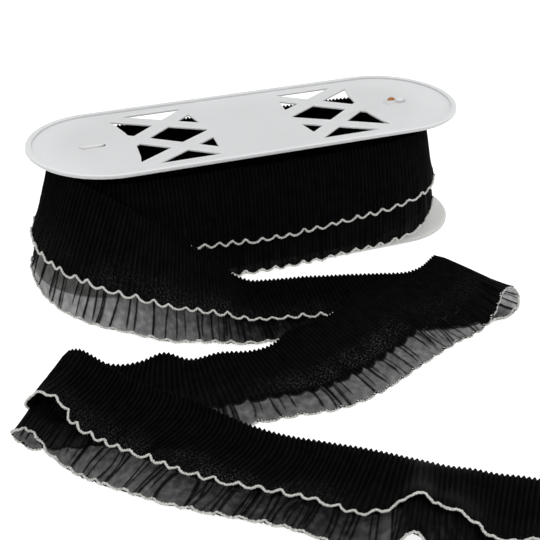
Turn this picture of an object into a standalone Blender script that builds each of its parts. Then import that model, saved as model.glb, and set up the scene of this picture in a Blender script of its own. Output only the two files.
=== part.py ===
# Roll of double ruffle trim on an oblong plastic reel, with its loose end laid out in three runs.
# Blender 4.5, metres, +Z up. The origin is the centre of the reel's underside.

import math
from collections import namedtuple

import bmesh
import bpy
import numpy as np
from mathutils import Vector

MM = 0.001

# Reel
REEL_LENGTH = 240 * MM
REEL_WIDTH = 81 * MM
REEL_HEIGHT = 68.6 * MM
FLANGE_THICKNESS = 2.2 * MM
PLATE_THICKNESS = 1.0 * MM
RIM_WIDTH = 3.0 * MM
FLANGE_EDGE_BEVEL = 0.4 * MM
END_SEGMENTS = 28

# Lattice windows: two in each flange, symmetric about the reel's middle
WINDOW_HALF_WIDTH = 31.6 * MM
WINDOW_INNER_X = 24.6 * MM
WINDOW_OUTER_X = 65.3 * MM
INNER_SIDE_RADIUS = 122 * MM
OUTER_SIDE_RADIUS = 95 * MM
SIDE_SEGMENTS = 6
BAR_CROSSING_X = 42.3 * MM
BAR_CROSSING_Y = 15.75 * MM
BAR_WIDTH = 8.0 * MM
SMALLEST_GAP = 6 * MM ** 2
STEEP_BAR_SLOPE = 0.76
SHALLOW_BAR_SLOPE = 0.59

# Posts and the slots in the flanges that take their tongues
POST_X = 86.5 * MM
POST_RADIUS = 5.0 * MM
SLOT_LENGTH = 13.5 * MM
SLOT_WIDTH = 4.4 * MM
TONGUE_LENGTH = 6.4 * MM
TONGUE_WIDTH = 3.6 * MM
TONGUE_SHIFT = 1.6 * MM
FIT_GAP = 0.3 * MM

# Winding: an oblong whose ends turn about two centres
WINDING_CENTRE_X = 69.4 * MM
WINDING_END_STATIONS = 22
WINDING_SIDE_STATIONS = 9
TURN_THICKNESS = 3.6 * MM
STEP_START_ANGLE = math.radians(98)
STEP_END_ANGLE = math.radians(102)
RUFFLE_PITCH = 27 * MM
RUFFLE_DEPTH = 0.35 * MM
HEM_RISE_LEFT = -2.4 * MM
HEM_RISE_RIGHT = 6.6 * MM

# Loose end
FRILL_THICKNESS = 1.4 * MM
FRILL_OFFSET = 0.95 * MM
LONG_FRILL_COLUMNS = (0.0, 0.12, 0.35, 0.53, 0.7, 0.86, 1.0)
SHORT_FRILL_COLUMNS = (0.0, 0.12, 0.35, 0.53, 0.7)
TABLE_COLUMNS = (0.0, 0.35, 0.7, 1.0)
STEPS_PER_SECTION = 3
LONG_STEP = 8.0 * MM

# Rows of the winding, from the middle of its underside, up the wall and in over the edges of its turns.
# radius and height in mm; rise is the share of the uneven hem line that the row follows
WindingRow = namedtuple("WindingRow", "radius height rise")
WINDING_ROWS = (
    WindingRow(4.0, 2.5, 0.0),
    WindingRow(24.0, 2.5, 0.0),
    WindingRow(38.0, 2.5, 0.0),
    WindingRow(39.4, 4.4, 0.0),
    WindingRow(42.2, 3.7, 0.1),
    WindingRow(42.0, 5.0, 0.1),
    WindingRow(41.1, 12.0, 0.5),
    WindingRow(40.1, 18.4, 1.0),
    WindingRow(41.4, 19.3, 1.0),
    WindingRow(40.8, 27.0, 0.8),
    WindingRow(38.9, 37.0, 0.6),
    WindingRow(36.7, 47.0, 0.4),
    WindingRow(34.4, 56.0, 0.25),
    WindingRow(33.2, 58.6, 0.2),
    WindingRow(31.2, 57.0, 0.1),
    WindingRow(28.6, 58.8, 0.0),
    WindingRow(25.6, 56.8, 0.0),
    WindingRow(22.4, 58.4, 0.0),
    WindingRow(18.8, 56.4, 0.0),
    WindingRow(14.6, 58.0, 0.0),
    WindingRow(10.4, 56.2, 0.0),
    WindingRow(4.0, 57.4, 0.0),
)

# Cross-sections of the loose end in mm, from the roll to the cut end: where its heading and its long hem
# lie, the height of the cloth at the heading, at 35 %, at 70 % and at the hem, and how far the short
# frill's hem is lifted off the long frill
Section = namedtuple("Section", "head_x head_y hem_x hem_y head_z inner_z outer_z hem_z puff")


def wrapped(degrees, head_radius, hem_radius, *heights):
    """A section that stands against the winding's left end, at an angle about that end's centre."""
    angle = math.radians(degrees)
    centre = -WINDING_CENTRE_X / MM
    head = (centre + head_radius * math.cos(angle), head_radius * math.sin(angle))
    hem = (centre + hem_radius * math.cos(angle), hem_radius * math.sin(angle))
    return Section(*head, *hem, *heights)


LEFT_END_AND_RAMP = (
    wrapped(103.5, 37.2, 46.6, 60.8, 41.0, 21.5, 4.2, 0.0),
    wrapped(119.0, 37.6, 47.4, 61.2, 41.3, 21.5, 4.2, 0.0),
    wrapped(138.0, 38.0, 48.4, 61.4, 41.3, 21.5, 4.2, 0.2),
    wrapped(170.0, 38.4, 51.4, 61.5, 41.0, 21.0, 4.0, 0.4),
    Section(-101.9, -20.4, -121.8, -26.5, 60.0, 39.0, 18.5, 0.9, 0.6),
    Section(-92.4, -31.0, -115.5, -47.0, 56.0, 36.5, 17.0, 0.9, 0.6),
    Section(-82.9, -37.8, -106.0, -61.5, 51.5, 34.0, 15.5, 0.9, 0.6),
    Section(-72.3, -39.7, -92.5, -75.0, 43.2, 28.5, 13.0, 1.2, 0.6),
    Section(-61.1, -41.4, -80.0, -87.4, 34.7, 23.0, 10.5, 1.5, 0.6),
    Section(-46.6, -43.8, -63.0, -96.0, 22.6, 15.0, 7.0, 1.65, 0.5),
    Section(-36.0, -45.2, -51.0, -101.3, 14.0, 9.5, 4.6, 1.65, 0.4),
    Section(-26.4, -46.7, -41.0, -105.5, 5.9, 4.0, 2.4, 1.65, 0.3),
)
FIRST_RUN = (
    Section(-18.5, -49.8, -31.0, -107.0, 2.2, 1.9, 1.65, 1.65, 0.0),
    Section(-1.0, -53.5, -12.0, -112.0, 1.65, 1.65, 1.65, 1.65, 0.0),
    Section(40.0, -64.0, 36.0, -124.0, 1.65, 1.65, 1.65, 1.65, 0.0),
    Section(60.0, -69.5, 66.0, -129.5, 1.65, 1.65, 1.65, 1.65, 0.0),
)
RIGHT_FOLD = (
    Section(71.0, -67.8, 88.5, -127.5, 1.9, 1.8, 1.7, 1.65, 0.0),
    Section(79.0, -64.2, 100.0, -118.0, 2.3, 2.1, 1.9, 1.65, 0.0),
    Section(84.8, -61.6, 106.3, -107.8, 4.9, 4.6, 4.3, 3.8, 0.0),
    Section(80.6, -64.0, 100.5, -106.2, 7.7, 7.3, 6.9, 6.1, 0.0),
    Section(75.0, -68.4, 93.6, -111.0, 7.6, 7.1, 6.4, 5.0, 0.0),
)
SECOND_RUN = (
    Section(68.0, -73.8, 85.4, -121.5, 6.6, 6.1, 5.6, 3.4, 0.0),
    Section(60.0, -79.5, 77.0, -130.0, 5.8, 5.6, 5.4, 2.0, 0.0),
    Section(50.0, -83.5, 68.0, -134.0, 5.6, 5.6, 4.8, 0.2, 0.0),
    Section(27.5, -86.3, 47.0, -141.0, 5.6, 5.6, 4.0, -0.1, 0.0),
    Section(4.5, -99.0, 21.0, -152.5, 5.6, 4.2, 2.2, -0.1, 0.0),
    Section(-7.0, -104.0, 6.0, -159.5, 5.2, 2.8, 1.8, -0.1, 0.0),
    Section(-23.0, -106.5, -12.0, -166.0, 4.8, 2.4, 1.7, -0.1, 0.0),
    Section(-33.0, -111.6, -27.0, -168.0, 2.6, 1.9, 1.7, -0.1, 0.0),
    Section(-46.0, -112.0, -46.0, -165.5, 1.9, 1.7, 1.7, -0.1, 0.0),
    Section(-61.0, -109.7, -66.0, -164.0, 3.0, 1.9, 1.7, -0.1, 0.0),
    Section(-75.0, -109.0, -88.0, -161.5, 1.9, 1.7, 1.7, -0.1, 0.0),
    Section(-85.5, -103.6, -106.0, -158.5, 4.6, 2.2, 1.7, -0.1, 0.0),
    Section(-97.0, -102.6, -126.0, -155.0, 2.2, 1.8, 1.7, -0.1, 0.0),
    Section(-108.0, -101.0, -145.0, -151.0, 2.6, 1.8, 1.7, 0.1, 0.0),
)
LEFT_FOLD = (
    Section(-118.0, -95.4, -160.0, -145.0, 3.6, 2.4, 2.0, 0.6, 0.0),
    Section(-127.2, -89.6, -165.2, -136.0, 7.0, 6.0, 5.4, 4.4, 1.5),
    Section(-123.2, -95.0, -160.6, -141.6, 10.6, 9.6, 9.4, 8.8, 5.5),
    Section(-116.8, -103.0, -156.6, -146.6, 8.8, 8.0, 8.0, 7.2, 5.0),
    Section(-112.2, -110.0, -153.8, -152.4, 6.4, 5.9, 5.8, 2.8, 2.6),
)
THIRD_RUN = (
    Section(-106.4, -121.0, -149.0, -164.5, 5.8, 5.6, 4.8, 1.65, 1.4),
    Section(-85.9, -147.0, -132.5, -186.5, 5.8, 5.4, 3.0, 1.65, 1.0),
    Section(-67.7, -170.0, -113.5, -206.0, 2.9, 2.2, 1.8, 1.65, 0.8),
    Section(-51.0, -184.5, -90.0, -224.0, 1.65, 1.65, 1.7, 1.65, 0.6),
    Section(-37.0, -194.5, -76.0, -236.0, 1.65, 1.65, 1.8, 1.65, 0.6),
    Section(-23.5, -205.0, -61.0, -249.0, 1.65, 3.6, 5.2, 3.4, 0.6),
    Section(-10.5, -216.0, -42.5, -262.0, 1.65, 7.0, 13.0, 12.4, 0.6),
    Section(1.0, -225.5, -33.0, -273.5, 1.65, 3.6, 5.0, 2.2, 0.6),
    Section(14.0, -234.5, -23.0, -281.5, 1.65, 1.65, 1.8, 1.65, 0.6),
    Section(36.0, -250.0, -2.0, -297.0, 1.65, 1.65, 1.65, 1.65, 0.4),
)
SECTIONS = LEFT_END_AND_RAMP + FIRST_RUN + RIGHT_FOLD + SECOND_RUN + LEFT_FOLD + THIRD_RUN


# Scene and collections
def clear_scene():
    for old in list(bpy.data.objects):
        bpy.data.objects.remove(old, do_unlink=True)


def new_collection(name):
    collection = bpy.data.collections.new(name)
    bpy.context.scene.collection.children.link(collection)
    return collection


def add_object(name, data, collection):
    obj = bpy.data.objects.new(name, data)
    collection.objects.link(obj)
    return obj


def mark_cutter(obj):
    obj.hide_render = True
    obj.display_type = "WIRE"
    return obj


# Materials
def make_material(name, colour, roughness):
    material = bpy.data.materials.new(name)
    material.use_nodes = True
    shader = material.node_tree.nodes["Principled BSDF"]
    shader.inputs["Base Color"].default_value = (*colour, 1.0)
    shader.inputs["Roughness"].default_value = roughness
    shader.inputs["Metallic"].default_value = 0.0
    return material


# Outlines and prisms
def oblong_outline(length, width, segments):
    """Points of an oblong with round ends, counter-clockwise, centred on the origin."""
    radius = width / 2
    centre = length / 2 - radius
    points = []
    for side in (1, -1):
        for i in range(segments + 1):
            angle = -math.pi / 2 + math.pi * i / segments
            points.append((side * (centre + radius * math.cos(angle)), side * radius * math.sin(angle)))
    return points


def window_outline():
    """Points of one lattice window on the +X side: straight ends and two sides bowed to the middle."""
    points = []
    for i in range(SIDE_SEGMENTS + 1):
        y = WINDOW_HALF_WIDTH * (2 * i / SIDE_SEGMENTS - 1)
        bow = OUTER_SIDE_RADIUS - math.sqrt(OUTER_SIDE_RADIUS ** 2 - y ** 2)
        points.append((WINDOW_OUTER_X + bow, y))
    for i in range(SIDE_SEGMENTS + 1):
        y = WINDOW_HALF_WIDTH * (1 - 2 * i / SIDE_SEGMENTS)
        bow = INNER_SIDE_RADIUS - math.sqrt(INNER_SIDE_RADIUS ** 2 - y ** 2)
        points.append((WINDOW_INNER_X + bow, y))
    return points


def prism(name, outlines, bottom, top, collection):
    """Flat outlines as one filled 2D curve, extruded between two heights and made a welded mesh."""
    curve = bpy.data.curves.new(name, "CURVE")
    curve.dimensions = "2D"
    curve.fill_mode = "BOTH"
    curve.extrude = (top - bottom) / 2
    for outline in outlines:
        spline = curve.splines.new("POLY")
        spline.points.add(len(outline) - 1)
        for point, (x, y) in zip(spline.points, outline):
            point.co = (x, y, 0.0, 1.0)
        spline.use_cyclic_u = True
    guide = add_object(name + "_curve", curve, collection)
    guide.location.z = (top + bottom) / 2
    bpy.context.view_layer.update()
    depsgraph = bpy.context.evaluated_depsgraph_get()
    mesh = bpy.data.meshes.new_from_object(guide.evaluated_get(depsgraph))
    place = guide.matrix_world.copy()
    bpy.data.objects.remove(guide, do_unlink=True)
    bm = bmesh.new()
    bm.from_mesh(mesh)
    bmesh.ops.remove_doubles(bm, verts=bm.verts, dist=1e-6)
    bmesh.ops.dissolve_limit(bm, angle_limit=math.radians(0.5), verts=bm.verts, edges=bm.edges)
    bmesh.ops.recalc_face_normals(bm, faces=bm.faces)
    bm.to_mesh(mesh)
    bm.free()
    mesh.name = name
    obj = add_object(name, mesh, collection)
    obj.matrix_world = place
    return obj


def cut(target, cutter):
    modifier = target.modifiers.new("cut " + cutter.name, "BOOLEAN")
    modifier.operation = "DIFFERENCE"
    modifier.object = cutter


def fuse(target, other):
    modifier = target.modifiers.new("join " + other.name, "BOOLEAN")
    modifier.operation = "UNION"
    modifier.object = other


# Lattice windows
def keep_beyond(outline, normal, limit):
    """The part of an outline on the far side of a line, where its points' reach along normal passes limit."""
    kept = []
    for (x0, y0), (x1, y1) in zip(outline, outline[1:] + outline[:1]):
        reach0 = x0 * normal[0] + y0 * normal[1] - limit
        reach1 = x1 * normal[0] + y1 * normal[1] - limit
        if reach0 >= 0:
            kept.append((x0, y0))
        if (reach0 >= 0) != (reach1 >= 0):
            t = reach0 / (reach0 - reach1)
            kept.append((x0 + (x1 - x0) * t, y0 + (y1 - y0) * t))
    return kept


def area(outline):
    return sum(x0 * y1 - x1 * y0 for (x0, y0), (x1, y1) in zip(outline, outline[1:] + outline[:1])) / 2


def window_gaps():
    """The gaps that the four crossing bars leave in a window on the +X side."""
    gaps = [window_outline()]
    for row in (1, -1):
        for slope in (-row * STEEP_BAR_SLOPE, row * SHALLOW_BAR_SLOPE):
            length = math.hypot(1.0, slope)
            normal = (-slope / length, 1.0 / length)
            middle = BAR_CROSSING_X * normal[0] + row * BAR_CROSSING_Y * normal[1]
            beyond = [keep_beyond(gap, normal, middle + BAR_WIDTH / 2) for gap in gaps]
            opposite = (-normal[0], -normal[1])
            before = [keep_beyond(gap, opposite, -middle + BAR_WIDTH / 2) for gap in gaps]
            gaps = [gap for gap in beyond + before if len(gap) > 2 and area(gap) > SMALLEST_GAP]
    return gaps


def window_cutter(name, side, bottom, top, collection):
    outlines = [[(side * x, y) for x, y in gap] for gap in window_gaps()]
    return mark_cutter(prism(name, outlines, bottom, top, collection))


# Flanges
def make_flange(name, bottom, recessed, material, parts, cutters):
    """An oblong plate with two lattice windows and a slot at each end, its outer face recessed or flat."""
    top = bottom + FLANGE_THICKNESS
    clear = 2 * MM
    flange = prism(name, [oblong_outline(REEL_LENGTH, REEL_WIDTH, END_SEGMENTS)], bottom, top, parts)
    bevel = flange.modifiers.new("soft edges", "BEVEL")
    bevel.width = FLANGE_EDGE_BEVEL
    bevel.segments = 1
    bevel.limit_method = "ANGLE"
    bevel.angle_limit = math.radians(60)
    if recessed:
        recess_outline = oblong_outline(REEL_LENGTH - 2 * RIM_WIDTH, REEL_WIDTH - 2 * RIM_WIDTH, END_SEGMENTS)
        floor = bottom + PLATE_THICKNESS
        cut(flange, mark_cutter(prism(name + "_recess", [recess_outline], floor, top + clear, cutters)))
    for side, label in ((1, "right"), (-1, "left")):
        cut(flange, window_cutter(name + "_window_" + label, side, bottom - clear, top + clear, cutters))
        slot_outline = [(side * POST_X + x, y) for x, y in oblong_outline(SLOT_LENGTH, SLOT_WIDTH, 6)]
        slot = prism(name + "_slot_" + label, [slot_outline], bottom - clear, top + clear, cutters)
        cut(flange, mark_cutter(slot))
    flange.data.materials.append(material)
    return flange


# Posts
def make_post(name, side, material, parts, cutters):
    """A round post between the flanges, with a flat tongue at each end that sits in the flange's slot."""
    bottom = FLANGE_THICKNESS + FIT_GAP
    top = REEL_HEIGHT - FLANGE_THICKNESS - FIT_GAP
    bpy.ops.mesh.primitive_cylinder_add(vertices=24, radius=POST_RADIUS, depth=top - bottom)
    post = bpy.context.active_object
    post.name = name
    for owner in list(post.users_collection):
        owner.objects.unlink(post)
    parts.objects.link(post)
    post.location = (side * POST_X, 0.0, (top + bottom) / 2)
    tongue_x = side * POST_X + TONGUE_SHIFT
    outline = [(tongue_x + x, y) for x, y in oblong_outline(TONGUE_LENGTH, TONGUE_WIDTH, 4)]
    reach = FLANGE_THICKNESS - PLATE_THICKNESS
    tongue = prism(name + "_tongue", [outline], reach, REEL_HEIGHT - reach, cutters)
    fuse(post, mark_cutter(tongue))
    post.data.materials.append(material)
    return post


# Winding
def winding_stations():
    """Stations around the winding as (centre x, angle or straight x, spiral share), from the place where the
    outer turn leaves it, round the left end, along the front, round the right end and back."""
    centre = WINDING_CENTRE_X
    stations = []
    for i in range(WINDING_END_STATIONS + 1):
        angle = STEP_END_ANGLE + (1.5 * math.pi - STEP_END_ANGLE) * i / WINDING_END_STATIONS
        stations.append((-centre, angle))
    for i in range(1, WINDING_SIDE_STATIONS):
        stations.append((centre * (2 * i / WINDING_SIDE_STATIONS - 1), 1.5 * math.pi))
    for i in range(WINDING_END_STATIONS + 1):
        stations.append((centre, 1.5 * math.pi + math.pi * i / WINDING_END_STATIONS))
    for i in range(1, WINDING_SIDE_STATIONS):
        stations.append((centre * (1 - 2 * i / WINDING_SIDE_STATIONS), 2.5 * math.pi))
    stations.append((-centre, 2.5 * math.pi))
    stations.append((-centre, 2 * math.pi + STEP_START_ANGLE))
    return stations


def hem_rise(centre_x):
    """The hem line of the short frill climbs from the reel's left to its right."""
    share = (centre_x + WINDING_CENTRE_X) / (2 * WINDING_CENTRE_X)
    return HEM_RISE_LEFT + (HEM_RISE_RIGHT - HEM_RISE_LEFT) * share


def make_winding(material, parts, cutters):
    """The wound turns as one solid: rings of the rows above, lofted, with holes for the two posts."""
    stations = winding_stations()
    travelled = 0.0
    previous = None
    lengths = []
    for centre_x, angle in stations:
        point = Vector((centre_x + 38 * MM * math.cos(angle), 38 * MM * math.sin(angle)))
        if previous is not None:
            travelled += (point - previous).length
        lengths.append(travelled)
        previous = point
    back_start = lengths[len(stations) - WINDING_SIDE_STATIONS - 2]
    bm = bmesh.new()
    rings = []
    for row in WINDING_ROWS:
        ring = []
        wall = row.radius > 33.0 and row.height > 3.0
        for (centre_x, angle), length in zip(stations, lengths):
            spiral = max(0.0, (length - back_start) / (travelled - back_start)) * TURN_THICKNESS
            radius = row.radius * MM
            if wall:
                radius += spiral + RUFFLE_DEPTH * math.sin(2 * math.pi * length / RUFFLE_PITCH)
            height = row.height * MM + row.rise * hem_rise(centre_x)
            ring.append(bm.verts.new((centre_x + radius * math.cos(angle), radius * math.sin(angle), height)))
        rings.append(ring)
    count = len(stations)
    for low, high in zip(rings, rings[1:]):
        for i in range(count):
            j = (i + 1) % count
            bm.faces.new((low[i], low[j], high[j], high[i]))
    bm.faces.new(list(reversed(rings[0])))
    bm.faces.new(rings[-1])
    bmesh.ops.triangulate(bm, faces=bm.faces)
    bmesh.ops.recalc_face_normals(bm, faces=bm.faces)
    mesh = bpy.data.meshes.new("winding")
    bm.to_mesh(mesh)
    bm.free()
    winding = add_object("winding", mesh, parts)
    for side, label in ((1, "right"), (-1, "left")):
        outline = oblong_outline(2 * (POST_RADIUS + FIT_GAP) + MM, 2 * (POST_RADIUS + FIT_GAP), 10)
        outline = [(side * POST_X + x, y) for x, y in outline]
        cut(winding, mark_cutter(prism("post_hole_" + label, [outline], -5 * MM, REEL_HEIGHT, cutters)))
    winding.data.materials.append(material)
    return winding


# Loose end
def smooth_rows(places, rows, samples):
    """Rows of numbers given at places, read at samples on a smooth curve through all of them."""
    places = np.asarray(places, float)
    rows = np.asarray(rows, float)
    gaps = np.diff(places)
    slopes = np.diff(rows, axis=0) / gaps[:, None]
    tangents = np.empty_like(rows)
    tangents[0] = slopes[0]
    tangents[-1] = slopes[-1]
    tangents[1:-1] = (slopes[:-1] * gaps[1:, None] + slopes[1:] * gaps[:-1, None]) / (gaps[:-1] + gaps[1:])[:, None]
    result = []
    for sample in samples:
        i = int(np.clip(np.searchsorted(places, sample, side="right") - 1, 0, len(gaps) - 1))
        gap = gaps[i]
        t = (sample - places[i]) / gap
        start = (1 + 2 * t) * (1 - t) ** 2 * rows[i] + t * (1 - t) ** 2 * gap * tangents[i]
        end = t * t * (3 - 2 * t) * rows[i + 1] + t * t * (t - 1) * gap * tangents[i + 1]
        result.append(start + end)
    return np.array(result)


def section_places():
    """How far along the cloth each section lies, from the mean travel of its heading, middle and hem."""
    places = [0.0]
    for a, b in zip(SECTIONS, SECTIONS[1:]):
        head = math.dist((a.head_x, a.head_y, a.head_z), (b.head_x, b.head_y, b.head_z))
        hem = math.dist((a.hem_x, a.hem_y, a.hem_z), (b.hem_x, b.hem_y, b.hem_z))
        places.append(places[-1] + (head + hem) / 2 * MM)
    return places


def cloth_grid(columns):
    """The middle surface of the doubled cloth as an array of stations by columns, and the lift of the
    short frill at each station."""
    places = section_places()
    samples = []
    for a, b in zip(places, places[1:]):
        steps = max(STEPS_PER_SECTION, round((b - a) / LONG_STEP))
        samples.extend(a + (b - a) * i / steps for i in range(steps))
    samples.append(places[-1])
    table = smooth_rows(places, SECTIONS, samples)
    head = table[:, 0:2]
    hem = table[:, 2:4]
    heights = smooth_rows(TABLE_COLUMNS, table[:, 4:8].T, columns).T
    grid = np.empty((len(samples), len(columns), 3))
    for k, share in enumerate(columns):
        grid[:, k, 0:2] = head + (hem - head) * share
        grid[:, k, 2] = heights[:, k]
    grid *= MM
    doubled = [k for k, share in enumerate(columns) if share <= SHORT_FRILL_COLUMNS[-1]]
    grid[:, doubled, 2] = np.maximum(grid[:, doubled, 2], FRILL_OFFSET + FRILL_THICKNESS / 2)
    return grid, table[:, 8] * MM


def face_normals(grid):
    """The direction that the short frill's side of the cloth faces, at each point of the grid."""
    steps = np.diff(grid, axis=0)
    steps /= np.linalg.norm(steps, axis=2, keepdims=True)
    along = np.concatenate((steps[:1], steps[:-1] + steps[1:], steps[-1:]))
    across = np.gradient(grid, axis=1)
    normals = np.cross(across, along)
    return normals / np.linalg.norm(normals, axis=2, keepdims=True)


def make_frill(name, columns, side, material, parts):
    """One frill of the loose end as an open surface with Solidify; it never dips under the floor."""
    grid, puff = cloth_grid(columns)
    surface = grid + side * FRILL_OFFSET * face_normals(grid)
    if side > 0:
        growth = np.array([(share / columns[-1]) ** 2 for share in columns])
        surface = surface + face_normals(grid) * (puff[:, None] * growth[None, :])[:, :, None]
    surface[:, :, 2] = np.maximum(surface[:, :, 2], FRILL_THICKNESS / 2)
    bm = bmesh.new()
    verts = [[bm.verts.new(point) for point in line] for line in surface]
    for a, b in zip(verts, verts[1:]):
        for k in range(len(columns) - 1):
            bm.faces.new((a[k], a[k + 1], b[k + 1], b[k]))
    bmesh.ops.recalc_face_normals(bm, faces=bm.faces)
    mesh = bpy.data.meshes.new(name)
    bm.to_mesh(mesh)
    bm.free()
    frill = add_object(name, mesh, parts)
    solid = frill.modifiers.new("cloth thickness", "SOLIDIFY")
    solid.thickness = FRILL_THICKNESS
    solid.offset = 0.0
    frill.data.materials.append(material)
    return frill


def main():
    clear_scene()
    parts = new_collection("ruffle_trim_roll")
    cutters = new_collection("cutters")
    plastic = make_material("white_plastic", (0.78, 0.79, 0.8), 0.45)
    post_plastic = make_material("post_plastic", (0.8, 0.8, 0.78), 0.5)
    wound_cloth = make_material("wound_cloth", (0.006, 0.006, 0.007), 0.85)
    long_cloth = make_material("long_frill_cloth", (0.02, 0.02, 0.022), 0.8)
    short_cloth = make_material("short_frill_cloth", (0.006, 0.006, 0.007), 0.8)
    make_flange("bottom_flange", 0.0, False, plastic, parts, cutters)
    make_flange("top_flange", REEL_HEIGHT - FLANGE_THICKNESS, True, plastic, parts, cutters)
    make_post("post_left", -1, post_plastic, parts, cutters)
    make_post("post_right", 1, post_plastic, parts, cutters)
    make_winding(wound_cloth, parts, cutters)
    make_frill("tail_long_frill", LONG_FRILL_COLUMNS, -1, long_cloth, parts)
    make_frill("tail_short_frill", SHORT_FRILL_COLUMNS, 1, short_cloth, parts)


main()
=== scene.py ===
# Looks of a roll of double ruffle trim on an oblong reel: plastic, wound turns and the pleated loose end.
# Blender 4.5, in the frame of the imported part. The tables of shapes are in mm, the scene is in metres.

import math
from collections import namedtuple

import bpy
import numpy as np
from mathutils import Matrix, Vector


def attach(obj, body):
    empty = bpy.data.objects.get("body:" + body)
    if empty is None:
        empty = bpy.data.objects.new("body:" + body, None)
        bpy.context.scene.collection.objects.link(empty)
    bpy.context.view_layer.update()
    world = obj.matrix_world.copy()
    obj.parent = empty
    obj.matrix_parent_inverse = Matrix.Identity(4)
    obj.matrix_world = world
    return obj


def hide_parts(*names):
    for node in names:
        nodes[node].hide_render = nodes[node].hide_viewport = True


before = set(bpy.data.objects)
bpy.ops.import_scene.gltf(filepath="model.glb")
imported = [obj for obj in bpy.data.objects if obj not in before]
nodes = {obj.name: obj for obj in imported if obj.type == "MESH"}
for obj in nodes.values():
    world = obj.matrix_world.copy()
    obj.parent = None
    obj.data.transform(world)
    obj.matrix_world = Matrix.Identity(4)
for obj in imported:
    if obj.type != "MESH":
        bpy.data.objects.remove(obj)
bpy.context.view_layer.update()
mm = 0.001
print("frame loaded:", sorted(nodes))


# Camera, floor and light

photoView = {
    "place": (-240.46, -570.73, 325.53),  # mm
    "heading": 23.982,  # degrees from +Y towards +X
    "dip": 29.295,
    "roll": 1.3,
    "focal": 1255.12,  # pixels of a picture 540 wide
    "pictureWidth": 540,
    "sensor": 36.0,
}


def addCamera(view):
    heading, dip, roll = (math.radians(view[key]) for key in ("heading", "dip", "roll"))
    level = math.cos(dip)
    forward = Vector((math.sin(heading) * level, math.cos(heading) * level, -math.sin(dip)))
    right = Vector((math.cos(heading), -math.sin(heading), 0))
    up = right.cross(forward)
    turnedRight = right * math.cos(roll) + up * math.sin(roll)
    turnedUp = up * math.cos(roll) - right * math.sin(roll)
    data = bpy.data.cameras.new("photoCamera")
    data.sensor_width = view["sensor"]
    data.lens = view["focal"] / view["pictureWidth"] * view["sensor"]
    camera = bpy.data.objects.new("photoCamera", data)
    bpy.context.scene.collection.objects.link(camera)
    turn = Matrix((turnedRight, turnedUp, -forward)).transposed().to_4x4()
    camera.matrix_world = Matrix.Translation(Vector(view["place"]) * mm) @ turn
    bpy.context.scene.camera = camera


studio = {
    "floorSize": 20.0,
    "floorDrop": 0.0003,
    "floorTone": 0.35,
    "floorRoughness": 0.9,
    "floorGlow": 0.86,  # a white table lit from below, as the photo's shadowless ground
    "worldStrength": 0.62,
    "lights": [  # name, place in metres, size, power
        ("keyLight", (-0.45, -0.45, 1.25), 1.4, 7.4),
        ("frontLight", (-0.25, -1.25, 0.55), 1.2, 2.6),
        ("sideLight", (1.0, -0.6, 0.6), 1.2, 2.5),
    ],
    "aim": (0, -0.1, 0.02),  # where the lights point, metres
}


def addLight(name, place, size, power, aim):
    data = bpy.data.lights.new(name, "AREA")
    data.size = size
    data.energy = power
    light = bpy.data.objects.new(name, data)
    light.location = place
    light.rotation_euler = (Vector(aim) - Vector(place)).to_track_quat("-Z", "Y").to_euler()
    bpy.context.scene.collection.objects.link(light)


def addStudio(s):
    half = s["floorSize"] / 2
    mesh = bpy.data.meshes.new("floor")
    corners = [(-half, -half, 0), (half, -half, 0), (half, half, 0), (-half, half, 0)]
    mesh.from_pydata(corners, [], [(0, 1, 2, 3)])
    floor = bpy.data.objects.new("floor", mesh)
    floor.location.z = -s["floorDrop"]
    bpy.context.scene.collection.objects.link(floor)
    material = bpy.data.materials.new("studioFloor")
    material.use_nodes = True
    shader = material.node_tree.nodes["Principled BSDF"]
    shader.inputs["Base Color"].default_value = (s["floorTone"], s["floorTone"], s["floorTone"], 1)
    shader.inputs["Roughness"].default_value = s["floorRoughness"]
    shader.inputs["Emission Color"].default_value = (1, 1, 1, 1)
    shader.inputs["Emission Strength"].default_value = s["floorGlow"]
    floor.data.materials.append(material)
    world = bpy.data.worlds.new("studioWorld")
    world.use_nodes = True
    world.node_tree.nodes["Background"].inputs["Color"].default_value = (1, 1, 1, 1)
    world.node_tree.nodes["Background"].inputs["Strength"].default_value = s["worldStrength"]
    bpy.context.scene.world = world
    for light in s["lights"]:
        addLight(*light, s["aim"])
    bpy.context.scene.view_settings.view_transform = "Standard"


addCamera(photoView)
addStudio(studio)
print("camera, floor and light done")


# Materials

def newFinish(name):
    material = bpy.data.materials.new(name)
    material.use_nodes = True
    tree = material.node_tree
    return material, tree, tree.nodes["Principled BSDF"]


def addNode(tree, kind, **inputs):
    node = tree.nodes.new(kind)
    for key, value in inputs.items():
        node.inputs[key].default_value = value
    return node


def colourRamp(tree, factor, stops):
    ramp = tree.nodes.new("ShaderNodeValToRGB")
    while len(ramp.color_ramp.elements) < len(stops):
        ramp.color_ramp.elements.new(0.5)
    for element, (place, colour) in zip(ramp.color_ramp.elements, stops):
        element.position = place
        element.color = (*colour, 1) if hasattr(colour, "__len__") else (colour, colour, colour, 1)
    tree.links.new(factor, ramp.inputs["Fac"])
    return ramp.outputs["Color"]


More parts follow.
